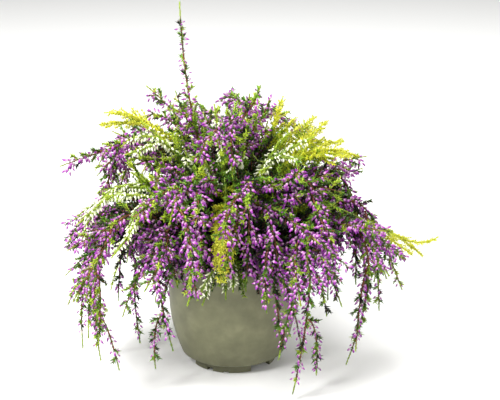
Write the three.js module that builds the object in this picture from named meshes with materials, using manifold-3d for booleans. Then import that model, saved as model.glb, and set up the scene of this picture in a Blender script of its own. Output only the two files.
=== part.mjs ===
// A potted heather: a plastic pot, its peat, and the sprays of a mixed planting.
// Millimetres, +Z up. The pot stands on z = 0 and its axis is the local origin.
import * as THREE from "three";
import { mergeVertices } from "three/addons/utils/BufferGeometryUtils.js";
import Module from "manifold-3d";

const wasm = await Module();
wasm.setup();

// The pot: a round bowl on a notched foot
const POT_HEIGHT = 107;
const POT_RADIUS = 60;
const WALL = 1.8;
const FOOT_RADIUS = 40;
const FOOT_HEIGHT = 9.5;
const FOOT_WIDTH = 5;
const BASE_RADIUS = 48;
const WIDEST_HEIGHT = 72;
const BOWL_FULLNESS = 2.2;
const POT_SIDES = 32;
const DRAIN_RADIUS = 3.5;
const DRAIN_DISTANCE = 24;
const DRAINS = 6;

// Gaps in the foot ring, repeated every third of a turn: direction and width in degrees
const NOTCHES = [
  { direction: 238, width: 9, height: 3.4 },
  { direction: 261, width: 7, height: 1.5 },
  { direction: 312, width: 34, height: 8.5 },
];

// The peat, and how deep each stem stands in it
const GAP = 0.3;
const SOIL_HEIGHT = 98;
const SOIL_SIDES = 16;
const SOIL_CROWN = 28;
const SOIL_EDGE_DROP = 2;
const ROOT_DEPTH = 14;
const HOLE_RADIUS = 2.4;

// Every shoot: its thickness, how far apart its florets stand, and how they differ in size
const STEM_RADIUS = 1.7;
const SIDE_STEM = 0.8;
const STEM_TAPER = 0.5;
const NECK_RADIUS = 0.6;
const FLORET_STEP = 18;
const TIP_SHARE = 0.45;
const LEAF_RISE = 7;
const SMALLEST = 0.75;
const SIZE_SPREAD = 0.5;
const APEX_SHIFT = 0.08;
const TIP_FROM = 0.9;
const TIP_RISE = 0.6;
const ROOM_LEAST = 1;
const ROOM_SHARE = 0.07;

// Main shoots: straight out of the peat for a collar's length, then over an arch
const COLLAR = 6;
const SHOULDER_SHARE = 0.25;
const SHOULDER_RISE = 0.75;
const MAIN_LEAVES_FROM = 0.12;
const SWAY = 14;
const LIFT = 24;
const LEAF_SHRINK = 0.7;

// Side shoots: where along the main one they leave it, how they bend, and how much they hang
const SIDES_FROM = 0.3;
const SIDES_SPAN = 0.58;
const FORK_SPREAD = 16;
const SIDE_LIFT = 0.7;
const SIDE_LIFT_DOWN = 0.35;
const BEND_TURN = 1.8;
const BEND_SHARE = 0.35;
const END_TURN = 0.8;
const DROOP = 0.25;

// Leafy twigs, low on the main shoots, that fill the bush inside
const FLOWER_SIDES = 6;
const TWIGS = 2;
const TWIG_FROM = 0.12;
const TWIG_SPAN = 0.2;
const TWIG_FORK = 40;
const TWIG_LENGTH = 38;
const TWIG_STEP = 14;
const TWIG_LEAVES_FROM = 0.3;

// Keeping the shoots clear of each other, the pot and the floor
const CLEARANCE = 0.9;
const WALL_CLEARANCE = 1;
const FLOOR_CLEARANCE = 3;
const FORK_LENGTH = 24;
const FORK_SHARE = 0.75;
const SPOTS = 4;
const STEM_REACH = 0.6;
const FLORET_REACH = 1.25;
const TIP_REACH = 0.5;
const LONGEST_REACH = 16;
const TRIES = 30;

// The front of the pot, between two directions, is left in view below a height
const FRONT_FROM = 249;
const FRONT_TO = 289;
const FRONT_BELOW = 84;

// Each spray, side shoot and try draws its numbers from a seed of its own
const RING_SEED = 1000;
const SPRAY_SEED = 10;
const SIDE_SEED = 100000;
const TRY_SEED = 7919;

// Where the plant's outline has its middle, seen from above, from the pot's axis
const MIDDLE_X = 13.5;
const MIDDLE_Y = -1.8;

// What each kind of spray carries. Florets and leaves are raised from the shoot's faces:
// rise is their height and lean how far they point along the shoot, as a share of that height.
// Side is how many side shoots it has, length and fork how long they are and at what angle
// they leave, and flowersFrom the share of the main shoot that carries leaves before them.
const KINDS = {
  mauve: { colour: 0xa03c9c, rise: 5.4, lean: 0.35, side: 6, length: 64, fork: 32, flowersFrom: 0.4 },
  white: { colour: 0xdfe0b0, rise: 4.8, lean: 0.35, side: 4, length: 52, fork: 28, flowersFrom: 0.45 },
  golden: { colour: 0xd9c838, rise: 6, lean: 0.8, side: 5, length: 42, fork: 36, flowersFrom: 0.45 },
  green: { colour: 0x6f8f35, rise: 5.4, lean: 0.8, side: 5, length: 46, fork: 34, flowersFrom: 0.3 },
};

// The sprays stand in four rings in the peat. Each has the point that its arch is pulled over
// and its tip, both as direction in degrees (0 is right, 270 is front), distance and height.
const RINGS = [
  {
    radius: 46,
    from: 0,
    sprays: [
      { kind: "mauve", over: [2, 150, 185], tip: [0, 132, 75] },
      { kind: "mauve", over: [22, 132, 191], tip: [28, 117, 95] },
      { kind: "white", over: [44, 129, 184], tip: [49, 144, 79] },
      { kind: "mauve", over: [73, 152, 187], tip: [63, 156, 24] },
      { kind: "golden", over: [90, 129, 188], tip: [90, 150, 91] },
      { kind: "mauve", over: [114, 139, 187], tip: [118, 139, 33] },
      { kind: "white", over: [137, 135, 180], tip: [138, 145, 59] },
      { kind: "mauve", over: [171, 136, 153], tip: [162, 91, 65] },
      { kind: "mauve", over: [185, 146, 187], tip: [196, 143, 25] },
      { kind: "mauve", over: [202, 144, 170], tip: [200, 144, 46] },
      { kind: "mauve", over: [220, 175, 211], tip: [215, 142, 32] },
      { kind: "mauve", over: [234, 144, 194], tip: [243, 112, 49] },
      { kind: "white", over: [266, 71, 143], tip: [266, 76, 88] },
      { kind: "mauve", over: [289, 106, 164], tip: [296, 99, 47] },
      { kind: "mauve", over: [308, 150, 194], tip: [301, 110, 6] },
      { kind: "mauve", over: [340, 170, 184], tip: [331, 118, 17] },
    ],
  },
  {
    radius: 33,
    from: -13,
    sprays: [
      { kind: "golden", sides: 4, rise: 215, over: [-13, 150, 88], tip: [-14, 188, 132] },
      { kind: "mauve", over: [10, 120, 230], tip: [0, 124, 83] },
      { kind: "golden", over: [24, 64, 201], tip: [27, 101, 219] },
      { kind: "green", over: [71, 99, 215], tip: [73, 131, 139] },
      { kind: "mauve", over: [91, 107, 238], tip: [100, 143, 132] },
      { kind: "golden", over: [124, 111, 227], tip: [130, 138, 149] },
      { kind: "mauve", over: [149, 110, 247], tip: [148, 141, 142] },
      { kind: "mauve", over: [179, 98, 240], tip: [181, 122, 188] },
      { kind: "white", over: [202, 118, 215], tip: [204, 145, 134] },
      { kind: "white", over: [229, 125, 207], tip: [229, 133, 150] },
      { kind: "mauve", over: [256, 115, 184], tip: [250, 92, 105] },
      { kind: "mauve", over: [288, 105, 206], tip: [292, 109, 121] },
      { kind: "mauve", over: [317, 115, 242], tip: [327, 102, 79] },
    ],
  },
  {
    radius: 20,
    from: 20,
    sprays: [
      { kind: "golden", over: [20, 38, 210], tip: [31, 54, 246] },
      { kind: "mauve", over: [60, 45, 250], tip: [40, 66, 222] },
      { kind: "mauve", over: [100, 75, 242], tip: [104, 110, 200] },
      { kind: "mauve", over: [164, 69, 249], tip: [156, 97, 219] },
      { kind: "golden", over: [177, 78, 230], tip: [176, 117, 234] },
      { kind: "white", over: [212, 81, 244], tip: [205, 106, 218] },
      { kind: "mauve", over: [246, 99, 222], tip: [247, 130, 171] },
      { kind: "golden", over: [261, 66, 221], tip: [261, 96, 121] },
      { kind: "mauve", over: [288, 105, 230], tip: [283, 105, 108] },
      { kind: "white", over: [301, 48, 214], tip: [321, 81, 201] },
      { kind: "golden", over: [341, 71, 223], tip: [349, 115, 202] },
    ],
  },
  {
    radius: 8,
    from: 20,
    sprays: [
      { kind: "mauve", over: [60, 36, 262], tip: [75, 50, 228] },
      { kind: "mauve", sides: 0, rise: 151, over: [168, 43, 203], tip: [149, 53, 333] },
      { kind: "white", sides: 2, over: [254, 30, 207], tip: [252, 48, 256] },
      { kind: "mauve", over: [267, 20, 275], tip: [276, 77, 197] },
    ],
  },
];

// Small helpers
const radians = THREE.MathUtils.degToRad;

function polar([direction, distance, height]) {
  const angle = radians(direction);
  return new THREE.Vector3(distance * Math.cos(angle), distance * Math.sin(angle), height);
}

function randomFrom(seed) {
  let state = seed;
  return () => {
    state = (state + 0x6d2b79f5) | 0;
    let t = Math.imul(state ^ (state >>> 15), 1 | state);
    t = (t + Math.imul(t ^ (t >>> 7), 61 | t)) ^ t;
    return ((t ^ (t >>> 14)) >>> 0) / 4294967296;
  };
}

function solidOf(geometry) {
  const bare = geometry.clone();
  bare.deleteAttribute("normal");
  bare.deleteAttribute("uv");
  const merged = mergeVertices(bare, 1e-3);
  const mesh = new wasm.Mesh({
    numProp: 3,
    vertProperties: merged.attributes.position.array,
    triVerts: new Uint32Array(merged.index.array),
  });
  return new wasm.Manifold(mesh);
}

function geometryOf(solid) {
  const mesh = solid.getMesh();
  const geometry = new THREE.BufferGeometry();
  geometry.setAttribute("position", new THREE.BufferAttribute(mesh.vertProperties, 3));
  geometry.setIndex(new THREE.BufferAttribute(mesh.triVerts, 1));
  geometry.computeVertexNormals();
  return geometry;
}

function lathe(profile, sides) {
  const points = profile.map(([radius, height]) => new THREE.Vector2(radius, height));
  const turned = new THREE.LatheGeometry(points, sides);
  return turned.rotateX(Math.PI / 2);
}

// The pot's wall: radius of the outer face at a height
function bowlRadius(height) {
  const share = THREE.MathUtils.clamp((height - FOOT_HEIGHT) / (WIDEST_HEIGHT - FOOT_HEIGHT), 0, 1);
  return BASE_RADIUS + (POT_RADIUS - BASE_RADIUS) * (1 - (1 - share) ** BOWL_FULLNESS);
}

function potSolid() {
  const outerHeights = [FOOT_HEIGHT, 15, 25, 42, WIDEST_HEIGHT];
  const innerHeights = [POT_HEIGHT, WIDEST_HEIGHT, 40, 18];
  const profile = [
    [0, FOOT_HEIGHT],
    [FOOT_RADIUS - FOOT_WIDTH, FOOT_HEIGHT],
    [FOOT_RADIUS - FOOT_WIDTH, 0],
    [FOOT_RADIUS, 0],
    [FOOT_RADIUS, FOOT_HEIGHT],
    ...outerHeights.map((height) => [bowlRadius(height), height]),
    [POT_RADIUS, POT_HEIGHT],
    ...innerHeights.map((height) => [bowlRadius(height) - WALL, height]),
    [BASE_RADIUS - WALL, FOOT_HEIGHT + WALL],
    [0, FOOT_HEIGHT + WALL],
  ];
  let pot = solidOf(lathe(profile, POT_SIDES));
  for (let turn = 0; turn < 3; turn++) {
    for (const { direction, width, height } of NOTCHES) {
      pot = pot.subtract(notch(direction + turn * 120, width, height));
    }
  }
  for (let i = 0; i < DRAINS; i++) {
    pot = pot.subtract(drain((360 * (i + 0.5)) / DRAINS));
  }
  return pot;
}

// A gap in the foot ring, cut by a block that stands in the ring's wall
function notch(direction, width, height) {
  const across = 2 * FOOT_RADIUS * Math.sin(radians(width / 2));
  const block = new THREE.BoxGeometry(3 * FOOT_WIDTH, across, 2 * height);
  block.translate(FOOT_RADIUS - FOOT_WIDTH / 2, 0, 0);
  return solidOf(block.rotateZ(radians(direction)));
}

function drain(direction) {
  const hole = new THREE.CylinderGeometry(DRAIN_RADIUS, DRAIN_RADIUS, 6 * WALL, 6);
  hole.rotateX(Math.PI / 2);
  const [x, y] = polar([direction, DRAIN_DISTANCE, 0]);
  return solidOf(hole.translate(x, y, FOOT_HEIGHT));
}

// The peat fills the pot to below the rim, with a crumbly top and a plain hole for each stem
function soilSolid(roots) {
  const wallHeights = [18, 40, WIDEST_HEIGHT];
  const inner = (height) => bowlRadius(height) - WALL - 2 * GAP;
  const profile = [
    [0, FOOT_HEIGHT + WALL + GAP],
    [BASE_RADIUS - WALL - 2 * GAP, FOOT_HEIGHT + WALL + GAP],
    ...wallHeights.map((height) => [inner(height), height]),
    [inner(POT_HEIGHT), SOIL_HEIGHT - SOIL_EDGE_DROP],
    [SOIL_CROWN, SOIL_HEIGHT],
    [0, SOIL_HEIGHT],
  ];
  const peat = lathe(profile, SOIL_SIDES);
  const spots = peat.attributes.position;
  for (let i = 0; i < spots.count; i++) {
    if (spots.getZ(i) === SOIL_HEIGHT) {
      spots.setZ(i, SOIL_HEIGHT + crumbs(spots.getX(i), spots.getY(i)));
    }
  }
  const holes = roots.map(({ x, y }) => {
    const hole = new THREE.CylinderGeometry(HOLE_RADIUS, HOLE_RADIUS, 2 * (ROOT_DEPTH + GAP), 6);
    hole.rotateX(Math.PI / 2);
    return solidOf(hole.translate(x, y, SOIL_HEIGHT));
  });
  return solidOf(peat).subtract(wasm.Manifold.union(holes));
}

function crumbs(x, y) {
  return 1.5 * Math.sin(x / 9 + 1) * Math.cos(y / 7) + 0.8 * Math.sin((x + y) / 4);
}

// A shoot: a three-cornered stem along a path of ring centres that ends in a point. Each ring is
// turned against the one before it, and a step's six faces rise into florets or leaves.
function shootGeometry({ path, across, radii, rises, lean, draw, leafySteps }) {
  const points = [];
  const faces = [];
  const tip = path.length - 1;
  const rings = path.slice(0, tip).map((centre, i) => {
    const along = path[i + 1].clone().sub(path[Math.max(i - 1, 0)]).normalize();
    const right = across.clone().addScaledVector(along, -across.dot(along)).normalize();
    const up = along.clone().cross(right);
    return [0, 1, 2].map((corner) => {
      const angle = ((2 * corner + (i % 2)) * Math.PI) / 3;
      const point = centre.clone();
      point.addScaledVector(right, radii[i] * Math.cos(angle));
      point.addScaledVector(up, radii[i] * Math.sin(angle));
      return points.push(point) - 1;
    });
  });
  const raise = (a, b, c, step, often) => {
    const size = SMALLEST + SIZE_SPREAD * draw();
    if (!rises[step] || (!often && step < leafySteps)) {
      faces.push([a, b, c]);
      return;
    }
    const [p, q, r] = [points[a], points[b], points[c]];
    const apex = p.clone().add(q).add(r).divideScalar(3);
    const along = path[step + 1].clone().sub(path[step]);
    apex.addScaledVector(along, often ? -APEX_SHIFT : APEX_SHIFT);
    along.normalize();
    const out = q.clone().sub(p).cross(r.clone().sub(p)).normalize();
    apex.addScaledVector(out, rises[step] * size);
    apex.addScaledVector(along, rises[step] * size * lean);
    const top = points.push(apex) - 1;
    faces.push([a, b, top], [b, c, top], [c, a, top]);
  };
  for (let step = 0; step < rings.length - 1; step++) {
    const [low, high] = [rings[step], rings[step + 1]];
    for (let corner = 0; corner < 3; corner++) {
      const next = (corner + 1) % 3;
      const near = high[(corner + (step % 2)) % 3];
      const far = high[(corner + (step % 2) + 1) % 3];
      raise(low[corner], low[next], near, step, true);
      raise(near, low[next], far, step, false);
    }
  }
  const end = points.push(path[tip]) - 1;
  const last = rings[rings.length - 1];
  faces.push([rings[0][0], rings[0][2], rings[0][1]]);
  for (let corner = 0; corner < 3; corner++) {
    faces.push([last[corner], last[(corner + 1) % 3], end]);
  }
  const geometry = new THREE.BufferGeometry().setFromPoints(points);
  geometry.setIndex(faces.flat());
  return geometry;
}

// Points along a curve, one every step or so and a last short one to the tip
function walk(curve, step) {
  const count = Math.max(2, Math.round(curve.getLength() / step));
  const shares = Array.from({ length: count }, (_, i) => i / (count - 1 + TIP_SHARE));
  return [...shares, 1].map((share) => curve.getPointAt(share));
}

// How far the florets or leaves of each step rise: none near the ground, then leaves, then
// florets, and all of them shorter near the pot's axis, where the shoots stand close
function risesAlong({ kind, path, bare, leavesFrom, flowersFrom, leafRise }) {
  const { rise } = KINDS[kind];
  const count = path.length - 1;
  return Array.from({ length: count }, (_, step) => {
    const share = (step + 0.5) / count;
    if (share < leavesFrom || bare.has(step)) return 0;
    const room = ROOM_LEAST + ROOM_SHARE * Math.hypot(path[step].x, path[step].y);
    if (share < flowersFrom) return Math.min(leafRise, room);
    return Math.min(share > TIP_FROM ? TIP_RISE * rise : rise, room);
  });
}

// The main shoot of a spray: up out of the peat, over its arch and down or out to its tip
function mainShoot(ring, slot, draw, attempt) {
  const { kind, over, tip, rise, sides } = ring.sprays[slot];
  const root = polar([ring.from + (360 * slot) / ring.sprays.length, ring.radius, SOIL_HEIGHT]);
  const sway = attempt ? SWAY * (draw() - 0.5) : 0;
  const lift = attempt ? LIFT * (draw() - 0.5) : 0;
  const crest = polar([over[0] + sway, over[1], over[2] + lift]);
  const end = polar([tip[0] + sway, tip[1], tip[2]]);
  const collar = root.clone().add(new THREE.Vector3(0, 0, COLLAR));
  const shoulder = collar.clone().lerp(crest, SHOULDER_SHARE);
  shoulder.z = (rise ?? SOIL_HEIGHT + SHOULDER_RISE * (over[2] - SOIL_HEIGHT)) + lift;
  const arch = new THREE.CubicBezierCurve3(collar, shoulder, crest, end);
  const path = walk(arch, FLORET_STEP);
  const heading = radians(tip[0]);
  return {
    kind,
    sides,
    path: [root.clone().setZ(SOIL_HEIGHT - ROOT_DEPTH), ...path],
    across: new THREE.Vector3(-Math.sin(heading), Math.cos(heading), 0),
    bare: new Set(),
    thick: STEM_RADIUS,
    leafRise: LEAF_RISE * (1 - (LEAF_SHRINK * attempt) / TRIES),
    leafySteps: Math.round(KINDS[kind].flowersFrom * (path.length - 1)),
    leavesFrom: MAIN_LEAVES_FROM,
    flowersFrom: KINDS[kind].flowersFrom,
  };
}

// A side shoot: leaves the main one at an angle, bends along with it and hangs under its weight.
// The first ones carry flowers; the last are leafy twigs low down, that fill the bush inside.
function sideShoot(main, index, draw) {
  const { fork, length, side } = KINDS[main.kind];
  const leafy = index >= FLOWER_SIDES;
  const hand = index % 2 ? 1 : -1;
  const share = leafy
    ? TWIG_FROM + TWIG_SPAN * (index - FLOWER_SIDES + draw())
    : SIDES_FROM + (SIDES_SPAN * (index + draw())) / side;
  const joint = Math.round(share * (main.path.length - 2));
  const start = main.path[joint].clone().lerp(main.path[joint + 1], 0.5);
  const along = main.path[joint + 1].clone().sub(start).normalize();
  const up = along.clone().cross(main.across).negate();
  const angle = radians((leafy ? TWIG_FORK : fork) + FORK_SPREAD * (draw() - 0.5));
  const reach = (leafy ? TWIG_LENGTH : length) * (SMALLEST + SIZE_SPREAD * draw());
  const lift = SIDE_LIFT * (draw() - SIDE_LIFT_DOWN);
  const course = (turn) =>
    along
      .clone()
      .multiplyScalar(Math.cos(turn))
      .addScaledVector(main.across, hand * Math.sin(turn))
      .addScaledVector(up, lift)
      .normalize();
  const middle = start.clone().addScaledVector(course(BEND_TURN * angle), BEND_SHARE * reach);
  const end = start.clone().addScaledVector(course(END_TURN * angle), reach);
  end.z -= (leafy ? 0 : DROOP) * reach;
  const arch = new THREE.QuadraticBezierCurve3(start, middle, end);
  const path = walk(arch, leafy ? TWIG_STEP : FLORET_STEP);
  return {
    kind: leafy ? "green" : main.kind,
    path,
    across: end.clone().sub(start).cross(new THREE.Vector3(0, 0, 1)).normalize(),
    joint,
    thick: SIDE_STEM * STEM_RADIUS,
    bare: new Set(leafy ? [] : [0]),
    leafRise: LEAF_RISE,
    leafySteps: 0,
    leavesFrom: leafy ? TWIG_LEAVES_FROM : 0,
    flowersFrom: 0,
  };
}

// The room a shoot takes up: points along it, each with the reach of what stands out there
function roomOf(shoot) {
  const count = shoot.path.length - 1;
  const rises = risesAlong(shoot);
  const spots = [];
  for (let step = 0; step < count; step++) {
    const reach = STEM_REACH * shoot.thick + FLORET_REACH * rises[step];
    for (let part = 0; part < SPOTS; part++) {
      const point = shoot.path[step].clone().lerp(shoot.path[step + 1], part / SPOTS);
      spots.push({ point, reach: Math.max(reach, shoot.thick) });
    }
  }
  spots.push({ point: shoot.path[count], reach: TIP_REACH });
  return { spots, hull: new THREE.Box3().setFromPoints(spots.map(({ point }) => point)) };
}

const placed = [];

// Whether a point keeps off the floor, the pot's wall and the pot's front
function isOutside({ point, reach }) {
  const out = Math.hypot(point.x, point.y);
  const margin = reach + WALL_CLEARANCE;
  const beside = out > POT_RADIUS + margin;
  const above = point.z > POT_HEIGHT + margin;
  const within = out < POT_RADIUS - WALL - margin && point.z > SOIL_HEIGHT - ROOT_DEPTH - 1;
  if (!beside && !above && !within) return false;
  const direction = (THREE.MathUtils.radToDeg(Math.atan2(point.y, point.x)) + 360) % 360;
  const inFront = out > POT_RADIUS && direction > FRONT_FROM && direction < FRONT_TO;
  if (inFront && point.z < FRONT_BELOW) return false;
  return point.z >= reach + FLOOR_CLEARANCE;
}

// Shoots of one spray may stand closer to each other, and meet where they fork
function isClear(owner, { spots, hull }) {
  if (!spots.every(isOutside)) return false;
  for (const other of placed) {
    if (!other.near.intersectsBox(hull)) continue;
    const own = other.owner === owner;
    const share = own ? FORK_SHARE : 1;
    for (const spot of spots) {
      if (own && spot.point.distanceTo(spots[0].point) < FORK_LENGTH) continue;
      for (const { point, reach } of other.spots) {
        const least = share * (spot.reach + reach) + CLEARANCE;
        if (point.distanceTo(spot.point) < least) return false;
      }
    }
  }
  return true;
}

// Tries a shoot in one shape after another until it stands clear of those placed before it
function place(owner, seed, make) {
  for (let attempt = 0; attempt < TRIES; attempt++) {
    const shoot = make(randomFrom(seed + TRY_SEED * attempt), attempt);
    const room = roomOf(shoot);
    if (isClear(owner, room)) {
      const near = room.hull.clone().expandByScalar(LONGEST_REACH);
      placed.push({ owner, near, spots: room.spots });
      return shoot;
    }
  }
  return null;
}

// Every main shoot is placed first, then side shoots one by one round all the sprays
function layOutSprays() {
  const sprays = RINGS.flatMap((ring, band) =>
    ring.sprays.map(({ kind }, slot) => {
      const seed = RING_SEED * (band + 1) + SPRAY_SEED * slot;
      const main = place(seed, seed, (draw, attempt) => mainShoot(ring, slot, draw, attempt));
      return { seed, kind, shoots: [main] };
    }),
  ).filter(({ shoots }) => shoots[0]);
  for (let index = 0; index < FLOWER_SIDES + TWIGS; index++) {
    for (const { seed, kind, shoots } of sprays) {
      const main = shoots[0];
      const wanted = main.sides ?? KINDS[kind].side;
      if (index < FLOWER_SIDES && index >= wanted) continue;
      const sideSeed = seed + SIDE_SEED * (index + 1);
      const shoot = place(seed, sideSeed, (draw) => sideShoot(main, index, draw));
      if (!shoot) continue;
      shoots.push(shoot);
      main.bare.add(shoot.joint);
    }
  }
  return sprays;
}

function spraySolid({ seed, kind, shoots }) {
  const draw = randomFrom(seed);
  const { lean } = KINDS[kind];
  const parts = shoots.map((shoot) => {
    const count = shoot.path.length - 1;
    const rises = risesAlong(shoot);
    const radii = rises.map((_, step) => shoot.thick * (1 - (STEM_TAPER * step) / count));
    if (shoot.joint !== undefined) radii[0] = NECK_RADIUS;
    return solidOf(shootGeometry({ ...shoot, radii, rises, lean, draw }));
  });
  return wasm.Manifold.union(parts);
}

// Matte plastic, damp peat, and petals and leaves with a soft sheen
const POT_FINISH = { color: 0x8a8a70, roughness: 0.6, metalness: 0 };
const SOIL_FINISH = { color: 0x33271c, roughness: 0.95, metalness: 0 };
const PLANT_ROUGHNESS = 0.65;

function meshOf(name, solid, finish) {
  const geometry = geometryOf(solid).translate(-MIDDLE_X, -MIDDLE_Y, 0);
  const mesh = new THREE.Mesh(geometry, new THREE.MeshStandardMaterial(finish));
  mesh.name = name;
  return mesh;
}

const sprays = layOutSprays();
const roots = sprays.map(({ shoots }) => shoots[0].path[0]);
const group = new THREE.Group();
group.name = "potted_heather";
group.add(meshOf("pot", potSolid(), POT_FINISH));
group.add(meshOf("soil", soilSolid(roots), SOIL_FINISH));

const counts = {};
for (const spray of sprays) {
  const { kind } = spray;
  counts[kind] = (counts[kind] ?? 0) + 1;
  const name = `${kind}_spray_${String(counts[kind]).padStart(2, "0")}`;
  const finish = { color: KINDS[kind].colour, roughness: PLANT_ROUGHNESS, metalness: 0 };
  group.add(meshOf(name, spraySolid(spray), finish));
}

export default group;
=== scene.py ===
# %% [markdown]
# # A potted heather
# A mixed planting of heather in a round plastic pot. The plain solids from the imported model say
# where every shoot runs. This lesson dresses them: it models one bud, one scale leaf and one
# length of stem by hand, copies them by rule along each shoot, gives the pot its turned form and
# notched foot, and lights it like a studio photo.

# %% Load the solids
import bpy
import math
import numpy as np
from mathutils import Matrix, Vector


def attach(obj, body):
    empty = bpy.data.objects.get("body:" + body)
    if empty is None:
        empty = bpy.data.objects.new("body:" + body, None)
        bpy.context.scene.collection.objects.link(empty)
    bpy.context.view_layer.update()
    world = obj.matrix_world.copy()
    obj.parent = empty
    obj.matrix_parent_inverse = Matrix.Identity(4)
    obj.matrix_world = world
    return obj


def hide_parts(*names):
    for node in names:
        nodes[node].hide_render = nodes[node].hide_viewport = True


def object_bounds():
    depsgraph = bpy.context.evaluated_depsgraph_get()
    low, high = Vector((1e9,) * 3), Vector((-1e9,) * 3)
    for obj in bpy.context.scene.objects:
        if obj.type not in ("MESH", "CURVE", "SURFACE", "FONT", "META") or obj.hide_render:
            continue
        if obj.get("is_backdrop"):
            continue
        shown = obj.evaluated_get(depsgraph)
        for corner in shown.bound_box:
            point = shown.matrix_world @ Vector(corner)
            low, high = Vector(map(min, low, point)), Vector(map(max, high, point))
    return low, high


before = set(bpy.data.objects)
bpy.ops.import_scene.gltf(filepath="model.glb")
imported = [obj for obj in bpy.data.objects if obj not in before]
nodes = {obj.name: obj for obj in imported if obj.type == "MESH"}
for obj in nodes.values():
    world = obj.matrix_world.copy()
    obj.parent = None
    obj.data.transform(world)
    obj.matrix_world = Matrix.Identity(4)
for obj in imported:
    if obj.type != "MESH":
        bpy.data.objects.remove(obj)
cad_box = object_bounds()
print(len(nodes), "nodes in the frame")

# %% [markdown]
# ## Where the shoots run
# The solids were laid out by rule, with named values and seeded draws. The same values are
# repeated here, so that the fine florets follow the very curves the solids were built on.
# Lengths in this layout are in millimetres, from the pot's axis, and turn to metres at the end.
# A notch in the foot is its direction and its width, both in degrees, and its height.

# %% The pot's and the layout's named values
MM = 0.001
MIDDLE = np.array([13.5, -1.8, 0.0])
POT_HEIGHT, POT_RADIUS, WALL = 107, 60, 1.8
FOOT_RADIUS, FOOT_HEIGHT, FOOT_WIDTH = 40, 9.5, 5
BASE_RADIUS, WIDEST_HEIGHT, BOWL_FULLNESS = 48, 72, 2.2
DRAIN_RADIUS, DRAIN_DISTANCE, DRAINS = 3.5, 24, 6
NOTCHES = ((238, 9, 3.4), (261, 7, 1.5), (312, 34, 8.5))
NOTCH_TURNS = 3
SOIL_HEIGHT, ROOT_DEPTH, COLLAR = 98, 14, 6
FLORET_STEP, TIP_SHARE = 18, 0.45
SHOULDER_SHARE, SHOULDER_RISE, SWAY, LIFT = 0.25, 0.75, 14, 24
SIDES_FROM, SIDES_SPAN, FORK_SPREAD = 0.3, 0.58, 16
SMALLEST, SIZE_SPREAD, SIDE_LIFT, SIDE_LIFT_DOWN = 0.75, 0.5, 0.7, 0.35
BEND_TURN, BEND_SHARE, END_TURN, DROOP = 1.8, 0.35, 0.8, 0.25
FLOWER_SIDES, TWIGS = 6, 2
TWIG_FROM, TWIG_SPAN, TWIG_FORK, TWIG_LENGTH = 0.12, 0.2, 40, 38
RING_SEED, SPRAY_SEED, SIDE_SEED, TRY_SEED = 1000, 10, 100000, 7919
TRIES, TIP_MATCH = 30, 0.05
KINDS = {
    "mauve": {"side": 6, "length": 64, "fork": 32},
    "white": {"side": 4, "length": 52, "fork": 28},
    "golden": {"side": 5, "length": 42, "fork": 36},
    "green": {"side": 5, "length": 46, "fork": 34},
}

# %% [markdown]
# The sprays leave the peat in four rings. Each ring is its distance from the axis and the
# direction of its first spray. Each spray is given by its kind, the point its arch is pulled
# over and its tip, both as direction in degrees, distance and height. Two numbers more, where
# they are there, are its count of side shoots and how high it rises before it bends.

# %% The sprays, ring by ring
RINGS = (
    (46, 0, (
        ("mauve", (2, 150, 185), (0, 132, 75)),
        ("mauve", (22, 132, 191), (28, 117, 95)),
        ("white", (44, 129, 184), (49, 144, 79)),
        ("mauve", (73, 152, 187), (63, 156, 24)),
        ("golden", (90, 129, 188), (90, 150, 91)),
        ("mauve", (114, 139, 187), (118, 139, 33)),
        ("white", (137, 135, 180), (138, 145, 59)),
        ("mauve", (171, 136, 153), (162, 91, 65)),
        ("mauve", (185, 146, 187), (196, 143, 25)),
        ("mauve", (202, 144, 170), (200, 144, 46)),
        ("mauve", (220, 175, 211), (215, 142, 32)),
        ("mauve", (234, 144, 194), (243, 112, 49)),
        ("white", (266, 71, 143), (266, 76, 88)),
        ("mauve", (289, 106, 164), (296, 99, 47)),
        ("mauve", (308, 150, 194), (301, 110, 6)),
        ("mauve", (340, 170, 184), (331, 118, 17)),
    )),
    (33, -13, (
        ("golden", (-13, 150, 88), (-14, 188, 132), 4, 215),
        ("mauve", (10, 120, 230), (0, 124, 83)),
        ("golden", (24, 64, 201), (27, 101, 219)),
        ("green", (71, 99, 215), (73, 131, 139)),
        ("mauve", (91, 107, 238), (100, 143, 132)),
        ("golden", (124, 111, 227), (130, 138, 149)),
        ("mauve", (149, 110, 247), (148, 141, 142)),
        ("mauve", (179, 98, 240), (181, 122, 188)),
        ("white", (202, 118, 215), (204, 145, 134)),
        ("white", (229, 125, 207), (229, 133, 150)),
        ("mauve", (256, 115, 184), (250, 92, 105)),
        ("mauve", (288, 105, 206), (292, 109, 121)),
        ("mauve", (317, 115, 242), (327, 102, 79)),
    )),
    (20, 20, (
        ("golden", (20, 38, 210), (31, 54, 246)),
        ("mauve", (60, 45, 250), (40, 66, 222)),
        ("mauve", (100, 75, 242), (104, 110, 200)),
        ("mauve", (164, 69, 249), (156, 97, 219)),
        ("golden", (177, 78, 230), (176, 117, 234)),
        ("white", (212, 81, 244), (205, 106, 218)),
        ("mauve", (246, 99, 222), (247, 130, 171)),
        ("golden", (261, 66, 221), (261, 96, 121)),
        ("mauve", (288, 105, 230), (283, 105, 108)),
        ("white", (301, 48, 214), (321, 81, 201)),
        ("golden", (341, 71, 223), (349, 115, 202)),
    )),
    (8, 20, (
        ("mauve", (60, 36, 262), (75, 50, 228)),
        ("mauve", (168, 43, 203), (149, 53, 333), 0, 151),
        ("white", (254, 30, 207), (252, 48, 256), 2),
        ("mauve", (267, 20, 275), (276, 77, 197)),
    )),
)
print(len(RINGS), "rings of sprays")

# %% [markdown]
# The draws come from a small integer generator, the same one that laid the solids out. The
# curves are Bezier curves, walked by length, and each is kept as points a millimetre apart.

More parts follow.
